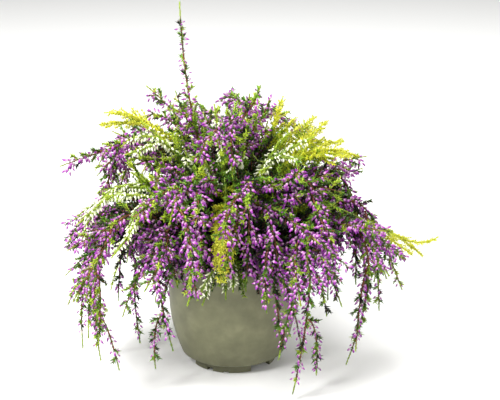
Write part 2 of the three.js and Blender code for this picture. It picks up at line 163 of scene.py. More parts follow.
# %% Draws, curves and points along them
def draws(seed):
    """Endless numbers from 0 to 1, from one seed."""
    state = seed
    while True:
        state = (state + 0x6D2B79F5) & 0xFFFFFFFF
        t = ((state ^ (state >> 15)) * (1 | state)) & 0xFFFFFFFF
        t = ((t + (t ^ (t >> 7)) * (61 | t)) ^ t) & 0xFFFFFFFF
        yield (t ^ (t >> 14)) / 4294967296


def polar(direction, distance, height):
    angle = math.radians(direction)
    return np.array([distance * math.cos(angle), distance * math.sin(angle), height])


def unit(v):
    return v / np.linalg.norm(v, axis=-1, keepdims=True)


class Curve:
    """A Bezier curve of any degree, that can be walked by length."""

    def __init__(self, *pulls):
        self.pulls = [np.asarray(p, float) for p in pulls]
        self.t = np.linspace(0, 1, 201)
        steps = np.linalg.norm(np.diff(self.at(self.t), axis=0), axis=1)
        self.lengths = np.concatenate([[0], np.cumsum(steps)])
        self.length = self.lengths[-1]

    def at(self, t):
        t = np.asarray(t, float)[..., None]
        n = len(self.pulls) - 1
        return sum(
            math.comb(n, k) * (1 - t) ** (n - k) * t**k * p
            for k, p in enumerate(self.pulls)
        )

    def share(self, u):
        return self.at(np.interp(np.asarray(u) * self.length, self.lengths, self.t))

    def walk(self, step):
        count = max(2, math.floor(self.length / step + 0.5))
        shares = [i / (count - 1 + TIP_SHARE) for i in range(count)] + [1]
        return self.share(shares)


# %% The main and the side shoots' curves
def main_curve(radius, start, slot, spray, draw, attempt, count):
    over, tip = spray[1:3]
    rise = spray[4] if len(spray) > 4 else SOIL_HEIGHT + SHOULDER_RISE * (over[2] - SOIL_HEIGHT)
    sway = SWAY * (next(draw) - 0.5) if attempt else 0
    lift = LIFT * (next(draw) - 0.5) if attempt else 0
    collar = polar(start + 360 * slot / count, radius, SOIL_HEIGHT + COLLAR)
    crest = polar(over[0] + sway, over[1], over[2] + lift)
    shoulder = collar + SHOULDER_SHARE * (crest - collar)
    shoulder[2] = rise + lift
    return Curve(collar, shoulder, crest, polar(tip[0] + sway, tip[1], tip[2]))


def side_curve(kind, path, across, index, draw):
    leafy = index >= FLOWER_SIDES
    values = KINDS[kind]
    if leafy:
        share = TWIG_FROM + TWIG_SPAN * (index - FLOWER_SIDES + next(draw))
    else:
        share = SIDES_FROM + SIDES_SPAN * (index + next(draw)) / values["side"]
    joint = math.floor(share * (len(path) - 2) + 0.5)
    start = (path[joint] + path[joint + 1]) / 2
    along = unit(path[joint + 1] - start)
    up = -np.cross(along, across)
    fork = TWIG_FORK if leafy else values["fork"]
    length = TWIG_LENGTH if leafy else values["length"]
    angle = math.radians(fork + FORK_SPREAD * (next(draw) - 0.5))
    reach = length * (SMALLEST + SIZE_SPREAD * next(draw))
    lift = SIDE_LIFT * (next(draw) - SIDE_LIFT_DOWN)
    hand = 1 if index % 2 else -1

    def course(turn):
        return unit(along * math.cos(turn) + across * hand * math.sin(turn) + up * lift)

    middle = start + course(BEND_TURN * angle) * BEND_SHARE * reach
    end = start + course(END_TURN * angle) * reach
    end[2] -= 0 if leafy else DROOP * reach
    return Curve(start, middle, end)


# %% [markdown]
# Some shoots were bent a little, or left out, to keep clear of the others. Which try was taken
# shows in the solid itself: a shoot's tip is one of its corners. So each try is looked up there.
# The first six side shoots carry flowers, and the last two are leafy twigs low on the main one.

# %% Every shoot of every spray
def corners(node):
    """A solid's corners, in millimetres from the pot's axis."""
    mesh = nodes[node].data
    flat = np.empty(3 * len(mesh.vertices))
    mesh.vertices.foreach_get("co", flat)
    return flat.reshape(-1, 3) / MM + MIDDLE


def first_found(make, seed, points):
    """The first try whose tip is one of the solid's corners, or None where a shoot was left out."""
    for attempt in range(TRIES):
        curve = make(draws(seed + TRY_SEED * attempt), attempt)
        if np.linalg.norm(points - curve.pulls[-1], axis=1).min() < TIP_MATCH:
            return curve


sprays = []
counts = {}
for band, (radius, start, ring) in enumerate(RINGS):
    for slot, spray in enumerate(ring):
        kind = spray[0]
        counts[kind] = counts.get(kind, 0) + 1
        node = f"{kind}_spray_{counts[kind]:02d}"
        points = corners(node)
        seed = RING_SEED * (band + 1) + SPRAY_SEED * slot
        main = first_found(
            lambda draw, attempt: main_curve(radius, start, slot, spray, draw, attempt, len(ring)),
            seed, points,
        )
        root = main.pulls[0] - [0, 0, COLLAR + ROOT_DEPTH]
        path = np.vstack([root, main.walk(FLORET_STEP)])
        heading = math.radians(spray[2][0])
        across = np.array([-math.sin(heading), math.cos(heading), 0])
        shoots = [("main", main)]
        wanted = spray[3] if len(spray) > 3 else KINDS[kind]["side"]
        for index in range(FLOWER_SIDES + TWIGS):
            if wanted <= index < FLOWER_SIDES:
                continue
            side = first_found(
                lambda draw, _: side_curve(kind, path, across, index, draw),
                seed + SIDE_SEED * (index + 1), points,
            )
            if side:
                shoots.append(("side" if index < FLOWER_SIDES else "twig", side))
        sprays.append((node, kind, seed, shoots))
print(len(sprays), "sprays laid out")

# %% [markdown]
# ## Finishes
# Petals, leaves and bark are all matt to satin, and what tells them apart is colour. A bud is
# pale where it leaves its stalk and deep purple at its mouth, so its colour follows its length.
# Each copy also carries a tone, so that no two neighbours match; for leaves and bark it also
# holds painted shade, lower the deeper they sit in the bush. Both are read from the piece's own UV
# map: a strip of the map for each kind of copy, length to the right, tone upwards.

# %% Colours and a helper for nodes
def linear(hex_colour):
    """The linear values of an sRGB hex colour, with full cover."""
    parts = [int(hex_colour[i:i + 2], 16) / 255 for i in (1, 3, 5)]
    return (*(c / 12.92 if c <= 0.04045 else ((c + 0.055) / 1.055) ** 2.4 for c in parts), 1.0)


def add(material, kind, links=(), **settings):
    """Adds a node with its settings and its links; a socket's name has _ for a space."""
    node = material.node_tree.nodes.new(kind)
    for name, value in settings.items():
        socket = node.inputs.get(name.replace("_", " "))
        if socket is None:
            setattr(node, name, value)
        else:
            socket.default_value = value
    for socket, target in links:
        material.node_tree.links.new(socket, node.inputs[target])
    return node


def start_material(name):
    material = bpy.data.materials.new(name)
    material.use_nodes = True
    material.node_tree.nodes.clear()
    return material


def finish_material(material, shader):
    add(material, "ShaderNodeOutputMaterial", [(shader.outputs[0], "Surface")])
    print("finish", material.name)
    return material


def fill_ramp(ramp, stops):
    elements = ramp.color_ramp.elements
    while len(elements) > 1:
        elements.remove(elements[-1])
    elements[0].position, elements[0].color = stops[0][0], linear(stops[0][1])
    for position, colour in stops[1:]:
        elements.new(position).color = linear(colour)


# %% [markdown]
# One recipe serves the soft parts of the plant. For petals a ramp along the length gives the
# colour, and the tone makes it lighter or darker. For leaves and bark the tone picks the colour,
# such as from dark green, going to near black as painted shade deep in the bush, to the lime of
# young leaves, and the length makes it lighter to the tip.

# %% A finish for petals, leaves and bark
STALKS, LEAVES, FLORETS = 0, 1, 2
STRIPS = 4
STRIP_MARGIN = 0.01
PLANT_IOR, PETAL_SHEEN = 1.4, 0.1


def plant_finish(name, strip, stops, roughness, spread):
    petals = strip == FLORETS
    material = start_material(name)
    uv = add(material, "ShaderNodeUVMap", uv_map="OFBake")
    split = add(material, "ShaderNodeSeparateXYZ", [(uv.outputs[0], 0)])
    low = strip / STRIPS + STRIP_MARGIN
    high = (strip + 1) / STRIPS - STRIP_MARGIN
    length = add(material, "ShaderNodeMapRange", [(split.outputs[0], 0)],
                 From_Min=low, From_Max=high)
    colour_by, bright_by = length.outputs[0], split.outputs[1]
    if not petals:
        colour_by, bright_by = bright_by, colour_by
    ramp = add(material, "ShaderNodeValToRGB", [(colour_by, 0)])
    fill_ramp(ramp, stops)
    bright = add(material, "ShaderNodeMapRange", [(bright_by, 0)],
                 To_Min=1 - spread, To_Max=1 + spread)
    toned = add(material, "ShaderNodeHueSaturation",
                [(bright.outputs[0], "Value"), (ramp.outputs[0], "Color")])
    shader = add(material, "ShaderNodeBsdfPrincipled", [(toned.outputs[0], "Base Color")],
                 Roughness=roughness, IOR=PLANT_IOR,
                 Sheen_Weight=PETAL_SHEEN if petals else 0.0)
    return finish_material(material, shader)


# Bark: thin, dull, red-brown on old shoots and green where it is young; its darkest end is painted
# shade, deep in the bush
bark = plant_finish(
    "woody_heather_bark", STALKS, [(0, "#1c120b"), (0.4, "#5c3020"), (1, "#9a5640")],
    roughness=0.75, spread=0.1)
green_bark = plant_finish(
    "young_green_shoot_bark", STALKS, [(0, "#2c3a10"), (0.5, "#7f9234"), (1, "#b0bc50")],
    roughness=0.65, spread=0.1)
# Leaves: waxy scales, so a little gloss; painted dark inside the bush as painted shade, bright where
# they are young
dark_leaf = plant_finish(
    "dark_heather_leaf", LEAVES,
    [(0, "#070d04"), (0.3, "#182f08"), (0.6, "#5a901c"), (1, "#c2da40")],
    roughness=0.5, spread=0.25)
lime_leaf = plant_finish(
    "lime_heather_leaf", LEAVES, [(0, "#1f3a08"), (0.4, "#709616"), (1, "#c4d83c")],
    roughness=0.5, spread=0.2)
gold_leaf = plant_finish(
    "golden_heather_leaf", LEAVES,
    [(0, "#2c500c"), (0.35, "#8cb01a"), (0.65, "#d8d828"), (1, "#eff05c")],
    roughness=0.5, spread=0.15)
# Petals: papery and dry to the touch, pale at the stalk, deep at the mouth
mauve_petal = plant_finish(
    "mauve_bud_petal", FLORETS,
    [(0, "#f6e4f0"), (0.26, "#dba0d4"), (0.52, "#a037a2"), (1, "#6f2190")],
    roughness=0.5, spread=0.35)
white_petal = plant_finish(
    "white_bud_petal", FLORETS, [(0, "#8fae34"), (0.3, "#e2e9b8"), (1, "#fdfcf2")],
    roughness=0.5, spread=0.1)

# %% [markdown]
# ## One bud, one scale leaf, one length of stem
# A bud of this heather stays shut: a small lantern 5 mm long, drawn in at both ends and most at
# its mouth. Thousands are copied, so each has only a few faces, and smooth shading rounds it. It
# starts as a sphere with few segments, whose rings are resized and moved in edit mode.

# %% Helpers for hand modelling
def into_scene(name, data):
    """A new object with its mesh, light or camera, put in the scene."""
    made = bpy.data.objects.new(name, data)
    bpy.context.scene.collection.objects.link(made)
    return made


def deselect():
    if bpy.context.object and bpy.context.object.mode != "OBJECT":
        bpy.ops.object.mode_set(mode="OBJECT")
    bpy.ops.object.select_all(action="DESELECT")


def only(piece):
    deselect()
    piece.select_set(True)
    bpy.context.view_layer.objects.active = piece


def shape_ring(piece, low, high, across=1.0, flat=1.0, lift=0.0):
    """Resizes and lifts the corners of a piece between two heights, in millimetres."""
    only(piece)
    mesh = piece.data
    for corner in mesh.vertices:
        corner.select = low * MM <= corner.co.z <= high * MM
    for part in (*mesh.edges, *mesh.polygons):
        part.select = all(mesh.vertices[i].select for i in part.vertices)
    bpy.ops.object.mode_set(mode="EDIT")
    bpy.ops.mesh.select_mode(type="VERT")
    bpy.ops.transform.resize(value=(across, across * flat, 1))
    bpy.ops.transform.translate(value=(0, 0, lift * MM))
    bpy.ops.object.mode_set(mode="OBJECT")


def as_pattern(piece):
    """Takes a finished shape as points and triangles of unit length, and removes its object."""
    only(piece)
    bpy.ops.object.mode_set(mode="EDIT")
    bpy.ops.mesh.select_all(action="SELECT")
    bpy.ops.mesh.quads_convert_to_tris()
    bpy.ops.object.mode_set(mode="OBJECT")
    mesh = piece.data
    points = np.array([corner.co[:] for corner in mesh.vertices])
    faces = np.array([face.vertices[:] for face in mesh.polygons])
    points[:, 2] -= points[:, 2].min()
    height = points[:, 2].max()
    half = np.abs(points[:, 0]).max()
    points /= [half, half, height]
    print(piece.name, len(faces), "triangles,", round(height / MM, 1), "mm long")
    bpy.data.objects.remove(piece)
    return points, faces


# %% The shapes that repeat
BUD_LENGTH, LEAF_LENGTH, STEM_JOINT = 5, 3, 5

# A bud: its lower ring drawn in where the stalk ends, its upper one closed to a mouth
deselect()
bpy.ops.mesh.primitive_uv_sphere_add(segments=5, ring_count=3, radius=BUD_LENGTH / 2 * MM)
floret = bpy.context.object
floret.name = "bud_floret"
shape_ring(floret, -1.5, -1, across=0.52, lift=0.2)
shape_ring(floret, 1, 1.5, across=0.3, lift=0.1)
FLORET = as_pattern(floret)

# A scale leaf: a three-sided point, pressed flat at its foot
bpy.ops.mesh.primitive_cone_add(vertices=3, radius1=LEAF_LENGTH / 5 * MM, depth=LEAF_LENGTH * MM)
leaf = bpy.context.object
leaf.name = "scale_leaf"
shape_ring(leaf, -1.6, -1.4, flat=0.6)
LEAF = as_pattern(leaf)

# A length of stem: open at both ends, because the next one starts inside it
bpy.ops.mesh.primitive_cylinder_add(
    vertices=4, radius=1 * MM, depth=STEM_JOINT * MM, end_fill_type="NOTHING")
stalk = bpy.context.object
stalk.name = "stem_joint"
STALK = as_pattern(stalk)

# %% [markdown]
# ## Copying by rule
# A copy needs a place, a direction, a length, a half width and a tone. The lists are long, so
# the copies' corners are worked out all at once and set as one mesh for each spray.

# %% Lists of copies
PATTERNS = {STALKS: STALK, LEAVES: LEAF, FLORETS: FLORET}
PLACE, AXIS, LENGTH, WIDTH, TONE = slice(0, 3), slice(3, 6), 6, 7, 8
LOWEST_TONE, TONE_SPAN = 0.03, 0.92
ROOM, INTO_SOIL = 1, 4


def keeps_clear(points):
    """Whether points are off the floor and out of the pot's wall."""
    out = np.hypot(points[:, 0], points[:, 1])
    height = points[:, 2]
    inside = (out < POT_RADIUS - WALL - ROOM) & (height > SOIL_HEIGHT - INTO_SOIL)
    in_pot = (height < POT_HEIGHT + ROOM) & (out < POT_RADIUS + ROOM) & ~inside
    return ~in_pot & (height > ROOM)


def put(batch, what, origin, axis, length, width, tone):
    """Adds copies to a batch, but for those whose tips would touch the pot or the floor."""
    axis = unit(axis)
    measures = [np.broadcast_to(value, len(origin)) for value in (length, width, tone)]
    rows = np.column_stack([origin, axis, *measures])
    batch[what].append(rows[keeps_clear(origin + axis * rows[:, LENGTH, None])])


def copies(pattern, rows, strip):
    """Corners, triangles and map of a pattern's copies; a triangle's map is never a bare line."""
    points, faces = pattern
    axis = rows[:, AXIS]
    helper = np.where(np.abs(axis[:, 2:3]) < 0.9, [[0, 0, 1.0]], [[1.0, 0, 0]])
    right = unit(np.cross(axis, helper))
    front = np.cross(axis, right)
    length, width = rows[:, LENGTH, None, None], rows[:, WIDTH, None, None]
    corners = (
        rows[:, None, PLACE]
        + points[None, :, 0:1] * right[:, None] * width
        + points[None, :, 1:2] * front[:, None] * width
        + points[None, :, 2:3] * axis[:, None] * length
    )
    triangles = faces[None] + (np.arange(len(rows)) * len(points))[:, None, None]
    along = points[faces][..., 2]
    margin = STRIP_MARGIN * STRIPS
    u = (strip + margin + along * (1 - 2 * margin)) / STRIPS
    tone = np.clip(rows[:, TONE, None], 0, 1)[:, :, None]
    v = LOWEST_TONE + TONE_SPAN * tone + np.array([0, 0.01, 0.02])
    uv = np.stack(np.broadcast_arrays(u[None], v), axis=-1)
    return corners.reshape(-1, 3), triangles.reshape(-1, 3), uv.reshape(-1, 2)


def build(name, batch, finishes):
    """One mesh of all the copies of a spray, each kind of copy with its own finish."""
    kinds = []
    offset = 0
    for what, parts in sorted(batch.items()):
        points, faces, uv = copies(PATTERNS[what], np.vstack(parts), what)
        kinds.append(((points - MIDDLE) * MM, faces + offset, uv, np.full(len(faces), what)))
        offset += len(points)
    points, faces, uv, slots = (np.concatenate(lists) for lists in zip(*kinds))
    mesh = bpy.data.meshes.new(name)
    mesh.vertices.add(len(points))
    mesh.vertices.foreach_set("co", points.ravel())
    mesh.loops.add(3 * len(faces))
    mesh.loops.foreach_set("vertex_index", faces.ravel().astype(np.int32))
    mesh.polygons.add(len(faces))
    starts = np.arange(0, 3 * len(faces), 3, dtype=np.int32)
    mesh.polygons.foreach_set("loop_start", starts)
    mesh.polygons.foreach_set("material_index", slots.astype(np.int32))
    mesh.uv_layers.new(name="OFBake")
    mesh.uv_layers["OFBake"].data.foreach_set("uv", uv.ravel())
    for finish in finishes:
        mesh.materials.append(finish)
    mesh.update(calc_edges=True)
    mesh.validate()
    mesh.shade_smooth()
    return into_scene(name, mesh), len(faces)


# %% [markdown]
# ## Dressing a shoot
# A heather shoot is a thin woody stem, set all round with small leaves, and from some way up with
# buds on short stalks, three at a place. Leaves and bark are painted darker the deeper they are in
# the bush, as painted shade. Each rule takes points a millimetre apart along a shoot, and where on
# it to start and end.

# %% Places along a shoot, and what depends on where they are
BUSH_RADIUS = 150
JITTER = 0.25
THIN_BELOW, THIN_DEPTH, THIN_ABOVE, THIN_HEIGHT = 150, 90, 238, 22


def trace(curve):
    """Points about a millimetre apart along a curve."""
    count = max(3, int(round(curve.length)) + 1)
    return curve.share(np.linspace(0, 1, count))


def spots(line, rng, start, end, step):
    """Places, directions and two side directions, every step along part of a line."""
    length = len(line) - 1
    s = np.arange(start * length, end * length, step)
    s = np.clip(s + rng.uniform(-JITTER, JITTER, len(s)) * step, 0, length - 1e-6)
    i = s.astype(int)
    point = line[i] + (line[i + 1] - line[i]) * (s - i)[:, None]
    tangent = unit(line[i + 1] - line[i])
    helper = np.where(np.abs(tangent[:, 2:3]) < 0.95, [[0, 0, 1.0]], [[1.0, 0, 0]])
    right = unit(np.cross(tangent, helper))
    return point, tangent, right, np.cross(right, tangent), s / length


def depth(point):
    """How deep in the bush a point is: 0 at its dome, 1 over the middle of the pot."""
    out = np.hypot(point[:, 0], point[:, 1]) / BUSH_RADIUS
    return np.clip(1 - np.hypot(out, (point[:, 2] - SOIL_HEIGHT) / BUSH_RADIUS), 0, 1)


def sparseness(point):
    """How thinly flowers stand at a point: 1 low on the trailing shoots and high on the long one."""
    low = (THIN_BELOW - point[:, 2]) / THIN_DEPTH
    high = (point[:, 2] - THIN_ABOVE) / THIN_HEIGHT
    return np.clip(np.maximum(low, high), 0, 1)


def turned(first, second, angle):
    """Directions turned from the first ones towards the second by their angles."""
    return first * np.cos(angle)[:, None] + second * np.sin(angle)[:, None]


# %% [markdown]
# A turn goes round the shoot from place to place, and a lean is away from it. Turns, and how far
# both stray, are in radians, and neighbours differ by how far a tone strays. A leaf's and a bud's
# half width and a bud's stalk are shares of its length.

# %% Rules for stems, leaves and buds
# Stem and leaf shade: how much darker bark and leaves are painted over the depth in the bush, as
# painted shade
STEM_STEP, STEM_OVERLAP = 5, 1.04
STEM_TONE, STEM_SHADE, STEM_TONES = 0.75, 0.8, 0.15
LEAF_TURN, LEAF_TURNS, LEAF_LEANS, LEAF_SIZES = 1.7, 0.3, 0.2, (0.75, 1.2)
LEAF_WIDTH, LEAF_SHADE, LEAF_TONES = 0.25, 0.95, 0.12
BUDS_AT_A_PLACE, BUD_TURN, BUD_TURNS, BUD_LEANS = 3, 2.4, 0.5, 0.35
BUD_SIZES, BUD_WIDTH, BUD_TONE, BUD_TONES = (0.8, 1.2), 0.21, 0.5, 0.2
BUD_STALK, STALK_REACH, STALK_WIDTH, STALK_TONE = 0.45, 1.25, 0.35, 0.35
SHRINKS_WHERE_THIN, DROPS_WHERE_THIN = 0.2, 0.45


def stem(batch, line, rng, thick, thin, step=STEM_STEP):
    """A stem of short lengths along a line, whose radius goes from thick to thin."""
    length = len(line) - 1
    i = np.unique(np.concatenate([np.arange(0, length, step), [length]]))
    ends = line[i]
    way = np.diff(ends, axis=0)
    reach = np.linalg.norm(way, axis=1)
    radius = thick + (thin - thick) * i[:-1] / length
    # painted shade: the deeper in the bush, the darker the bark
    tone = STEM_TONE - STEM_SHADE * depth(ends[:-1]) + rng.normal(0, STEM_TONES, len(reach))
    put(batch, STALKS, ends[:-1], way, reach * STEM_OVERLAP, radius, np.clip(tone, 0, 1))


def leafage(batch, line, rng, start, end, step, size, angle, tone, count=2):
    """Scale leaves on part of a line, some at each place, at an angle to it in degrees."""
    point, tangent, right, front, _ = spots(line, rng, start, end, step)
    places = len(point)
    for k in range(count):
        around = LEAF_TURN * np.arange(places) + 2 * math.pi * k / count
        around += rng.uniform(-LEAF_TURNS, LEAF_TURNS, places)
        lean = math.radians(angle) + rng.uniform(-LEAF_LEANS, LEAF_LEANS, places)
        axis = turned(tangent, turned(right, front, around), lean)
        length = size * rng.uniform(*LEAF_SIZES, places)
        # painted shade: the deeper in the bush, the darker the leaf
        shade = tone - LEAF_SHADE * depth(point) + rng.normal(0, LEAF_TONES, places)
        put(batch, LEAVES, point, axis, length, LEAF_WIDTH * length, np.clip(shade, 0, 1))


def buds(batch, line, rng, start, end, step, size, angle, droop):
    """Buds round part of a line, on stalks at an angle to it in degrees, hanging by their droop."""
    point, tangent, right, front, _ = spots(line, rng, start, end, step)
    places, thin = len(point), sparseness(point)
    stalk = BUD_STALK * size
    for k in range(BUDS_AT_A_PLACE):
        around = BUD_TURN * np.arange(places) + 2 * math.pi * k / BUDS_AT_A_PLACE
        around += rng.uniform(-BUD_TURNS, BUD_TURNS, places)
        lean = math.radians(angle) + rng.uniform(-BUD_LEANS, BUD_LEANS, places)
        away = turned(tangent, turned(right, front, around), lean)
        axis = unit(away + np.array([0, 0, -droop]))
        length = size * (1 - SHRINKS_WHERE_THIN * thin) * rng.uniform(*BUD_SIZES, places)
        tone = np.clip(rng.normal(BUD_TONE, BUD_TONES, places), 0, 1)
        keep = rng.uniform(size=places) > DROPS_WHERE_THIN * thin
        place, length = point[keep], length[keep]
        put(batch, LEAVES, place, away[keep], STALK_REACH * stalk, STALK_WIDTH, STALK_TONE)
        hung = place + away[keep] * stalk
        put(batch, FLORETS, hung, axis[keep], length, BUD_WIDTH * length, tone[keep])


# %% [markdown]
# Twigs leave a shoot at an angle and bend along with it. Most shoots end in a thin green tip a
# centimetre or so long. Three kinds of twig fill the bush between the flowering shoots: ones that
# turn inwards, painted dark as painted shade, ones that arch out over the pot's rim, and bright
# young ones near the dome. The named leans are in degrees here.

# %% Rules for tips and twigs
TWIG_STEM, TWIG_END, TWIG_STEP, TWIG_TURNS = 0.5, 0.3, 9, 0.6
# The inward twigs' leaf tone is low: painted shade for the dark inside of the bush
INNER_ABOVE, INNER_DEPTH, INNER_LEAN, INNER_SHADE_TONE = 140, 0.14, 60, 0.26
RIM_ABOVE, RIM_BELOW, RIM_OUT, RIM_LOWEST, RIM_ARCH = 111, 150, 40, 88, 5
YOUNG_ABOVE, YOUNG_DEPTH, YOUNG_LEAN, YOUNG_TONE, YOUNG_TURNS = 165, 0.1, 50, 0.95, 6.28


def sprig(point, tangent, out, lean, length, drop=0):
    """A twig's line; the lean is in radians, and the drop a share of its length."""
    end = point + (tangent * math.cos(lean) + out * math.sin(lean)) * length
    turn = 1.5 * lean
    middle = point + (tangent * math.cos(turn) + out * math.sin(turn)) * 0.5 * length
    end = end + np.array([0, 0, -drop * length])
    return trace(Curve(point, middle, end))


def round_shoot(right, front, i, rng):
    """The direction in which the twig at a place leaves its shoot, turned on from the last."""
    angle = np.array([BUD_TURN * i + rng.uniform(-TWIG_TURNS, TWIG_TURNS)])
    return turned(right[i:i + 1], front[i:i + 1], angle)[0]


def thin_tip(batch, line, rng, reach, tone):
    """Ends a shoot in close-lying young leaves, and returns the share where they start."""
    start = max(0.5, 1 - reach / (len(line) - 1))
    leafage(batch, line, rng, start, 1, step=1, size=2.4, angle=22, tone=tone, count=3)
    return start


def inner_twigs(batch, line, rng):
    """Leafy twigs that turn to the inside of the bush, their leaves painted dark as painted shade.
    """
    point, tangent, *_ = spots(line, rng, 0.12, 0.85, step=5)
    for i in np.flatnonzero((point[:, 2] > INNER_ABOVE) & (depth(point) > INNER_DEPTH)):
        inward = -point[i] * [1, 1, 0] / max(np.hypot(point[i, 0], point[i, 1]), 1)
        out = unit(0.6 * inward + [0, 0, -0.5] + rng.uniform(-0.5, 0.5, 3))
        twig = sprig(point[i], tangent[i], out, math.radians(INNER_LEAN), rng.uniform(18, 34))
        stem(batch, twig, rng, TWIG_STEM, TWIG_END, TWIG_STEP)
        leafage(batch, twig, rng, 0.05, 1, step=1.8, size=4.2, angle=48, tone=INNER_SHADE_TONE)


def rim_twigs(batch, line, flowers, rng):
    """Twigs low on a main shoot, that arch out over the pot's rim and hang a little way down."""
    point, *_ = spots(line, rng, 0.02, 0.5, step=3)
    away = np.hypot(point[:, 0], point[:, 1])
    at_rim = (point[:, 2] > RIM_ABOVE) & (point[:, 2] < RIM_BELOW) & (away > RIM_OUT)
    for i in np.flatnonzero(at_rim):
        outward = point[i] * [1, 1, 0] / away[i]
        out = unit(outward + rng.uniform(-0.7, 0.7, 3) * [1, 1, 0.2])
        reach = rng.uniform(24, 40)
        end = point[i] + out * reach - [0, 0, rng.uniform(0.1, 0.7) * reach]
        end[2] = max(end[2], RIM_LOWEST)
        middle = point[i] + out * 0.55 * reach + [0, 0, RIM_ARCH]
        twig = trace(Curve(point[i], middle, end))
        stem(batch, twig, rng, 0.6, TWIG_END, TWIG_STEP)
        tone = 0.6 + rng.normal(0, 0.15)
        leafage(batch, twig, rng, 0.05, 1, step=2.1, size=3.9, angle=45, tone=tone)
        if flowers:
            buds(batch, twig, rng, 0.35, 0.92, step=4.6, size=5.2, angle=60, droop=0.5)


def bright_tufts(batch, line, rng):
    """Young leafy twigs near the dome, that stand between the flowering shoots and close gaps."""
    point, tangent, right, front, _ = spots(line, rng, 0.35, 0.85, step=13)
    for i in np.flatnonzero((point[:, 2] > YOUNG_ABOVE) & (depth(point) > YOUNG_DEPTH)):
        out = turned(right[i:i + 1], front[i:i + 1], rng.uniform(0, YOUNG_TURNS, 1))[0]
        twig = sprig(point[i], tangent[i], out, math.radians(YOUNG_LEAN), rng.uniform(18, 32))
        stem(batch, twig, rng, TWIG_STEM, TWIG_END, TWIG_STEP)
        tone = YOUNG_TONE + rng.normal(0, 0.12)
        leafage(batch, twig, rng, 0.05, 1, step=1.7, size=4.2, angle=48, tone=tone, count=3)


# %% [markdown]
# Mauve sprays carry buds all round, with short leafy tufts and flowering twigs between them.
# Deep in the bush there are only leafy twigs, with a lower tone: painted shade. Low on the trailing
# shoots the flowers thin out and the tufts show.

# %% Mauve sprays
MAUVE_STEM = {"main": 1.4, "side": 0.9, "twig": 0.8}
MAUVE_TIP = {"main": 16, "side": 9, "twig": 5}
PAST_THE_END = 2
MAUVE_BUDS_FROM = {"main": 0.36, "side": 0.08, "twig": PAST_THE_END}
DEEP, LOW_SHARE, FLOWERS_EVERY, TOO_THIN, DROPPED_TWIGS = 0.3, 0.4, 4, 0.4, 0.35
# The deep twigs' tone is lower than the tufts': painted shade
DEEP_SHADE_TONE, TUFT_TONE, TUFT_TONES = 0.4, 0.66, 0.24


def mauve_shoot(batch, line, role, rng):
    stem(batch, line, rng, MAUVE_STEM[role], 0.4)
    end = thin_tip(batch, line, rng, MAUVE_TIP[role], 0.85)
    leafage(batch, line, rng, 0.05, end, step=2.2, size=3.0, angle=42, tone=0.4)
    buds(batch, line, rng, MAUVE_BUDS_FROM[role], end, step=4.5, size=5.4, angle=60, droop=0.5)
    point, tangent, right, front, share = spots(line, rng, 0.07, end, step=4.3)
    thin, deep = sparseness(point), depth(point)
    for i in range(len(point)):
        out = round_shoot(right, front, i, rng)
        low = deep[i] > DEEP and (role == "twig" or (role == "main" and share[i] < LOW_SHARE))
        if not low and rng.uniform() < DROPPED_TWIGS * thin[i]:
            continue
        flowers = not low and i % FLOWERS_EVERY == 0 and thin[i] < TOO_THIN
        if low:
            reach = rng.uniform(16, 30)
        else:
            reach = rng.uniform(8, 16) * (1 - 0.35 * share[i]) * (1 - 0.5 * thin[i])
        lean = math.radians(rng.uniform(35, 55))
        twig = sprig(point[i], tangent[i], out, lean, reach, 0.25 if flowers else 0)
        stem(batch, twig, rng, TWIG_STEM, TWIG_END, TWIG_STEP)
        tone = np.clip((DEEP_SHADE_TONE if low else TUFT_TONE) + rng.normal(0, TUFT_TONES), 0, 1)
        if flowers:
            leafage(batch, twig, rng, 0, 1, step=2.4, size=2.8, angle=40, tone=tone)
            buds(batch, twig, rng, 0.3, 0.95, step=4.4, size=5.2, angle=60, droop=0.5)
        else:
            leafage(batch, twig, rng, 0.05, 1, step=1.8, size=4.1, angle=48, tone=tone,
                    count=2 if low else 3)


# %% [markdown]
# White sprays are spikes: a lime shoot with bells that hang from it in close rows, along its
# last few centimetres. Before them it carries leafy twigs.

# %% White sprays
WHITE_STEM = {"main": 1.3, "side": 0.9, "twig": 0.8}
WHITE_ROWS = {"main": 62, "side": 40}


def white_spike(batch, line, role, rng):
    begin = PAST_THE_END
    if role in WHITE_ROWS:
        begin = max(0.15, 1 - WHITE_ROWS[role] / (len(line) - 1))
    stem(batch, line, rng, WHITE_STEM[role], 0.5)
    end = thin_tip(batch, line, rng, 7, 0.9)
    leafage(batch, line, rng, 0.05, end, step=1.3, size=3.0, angle=34, tone=0.75, count=3)
    buds(batch, line, rng, begin, end, step=3.1, size=4.2, angle=66, droop=0.85)
    point, tangent, right, front, _ = spots(line, rng, 0.07, min(begin, 0.9), step=8)
    for i in range(len(point)):
        out = round_shoot(right, front, i, rng)
        twig = sprig(point[i], tangent[i], out, math.radians(45), rng.uniform(9, 20))
        tone = 0.6 + rng.normal(0, 0.15)
        leafage(batch, twig, rng, 0, 1, step=1.4, size=3.2, angle=42, tone=tone)


# %% [markdown]
# Golden and green sprays are feathers, with short leafy twigs on both sides that get shorter to
# the tip. A feather that hangs down close to the pot ends in a few longer plumes, and one that
# runs far out stays thin.

# %% Golden and green sprays
FEATHER_STEM = {"main": 1.3, "side": 0.8, "twig": 0.7}
FEATHER_LENGTH, HANGING_LENGTH, HANGS_BY = 100, 45, 20
WIDE_TWIG, NARROW_TWIG, FAR_OUT = 14, 6, 160
SHORTEST_TWIG, TWIG_GROWTH, TWIG_SIZES = 3, 0.02, (0.6, 1.2)
NEAR_POT, PLUME_LENGTH, PLUME_LEAN, PLUME_DROP, PLUME_TONE = 120, 43, 0.9, 0.05, 0.8


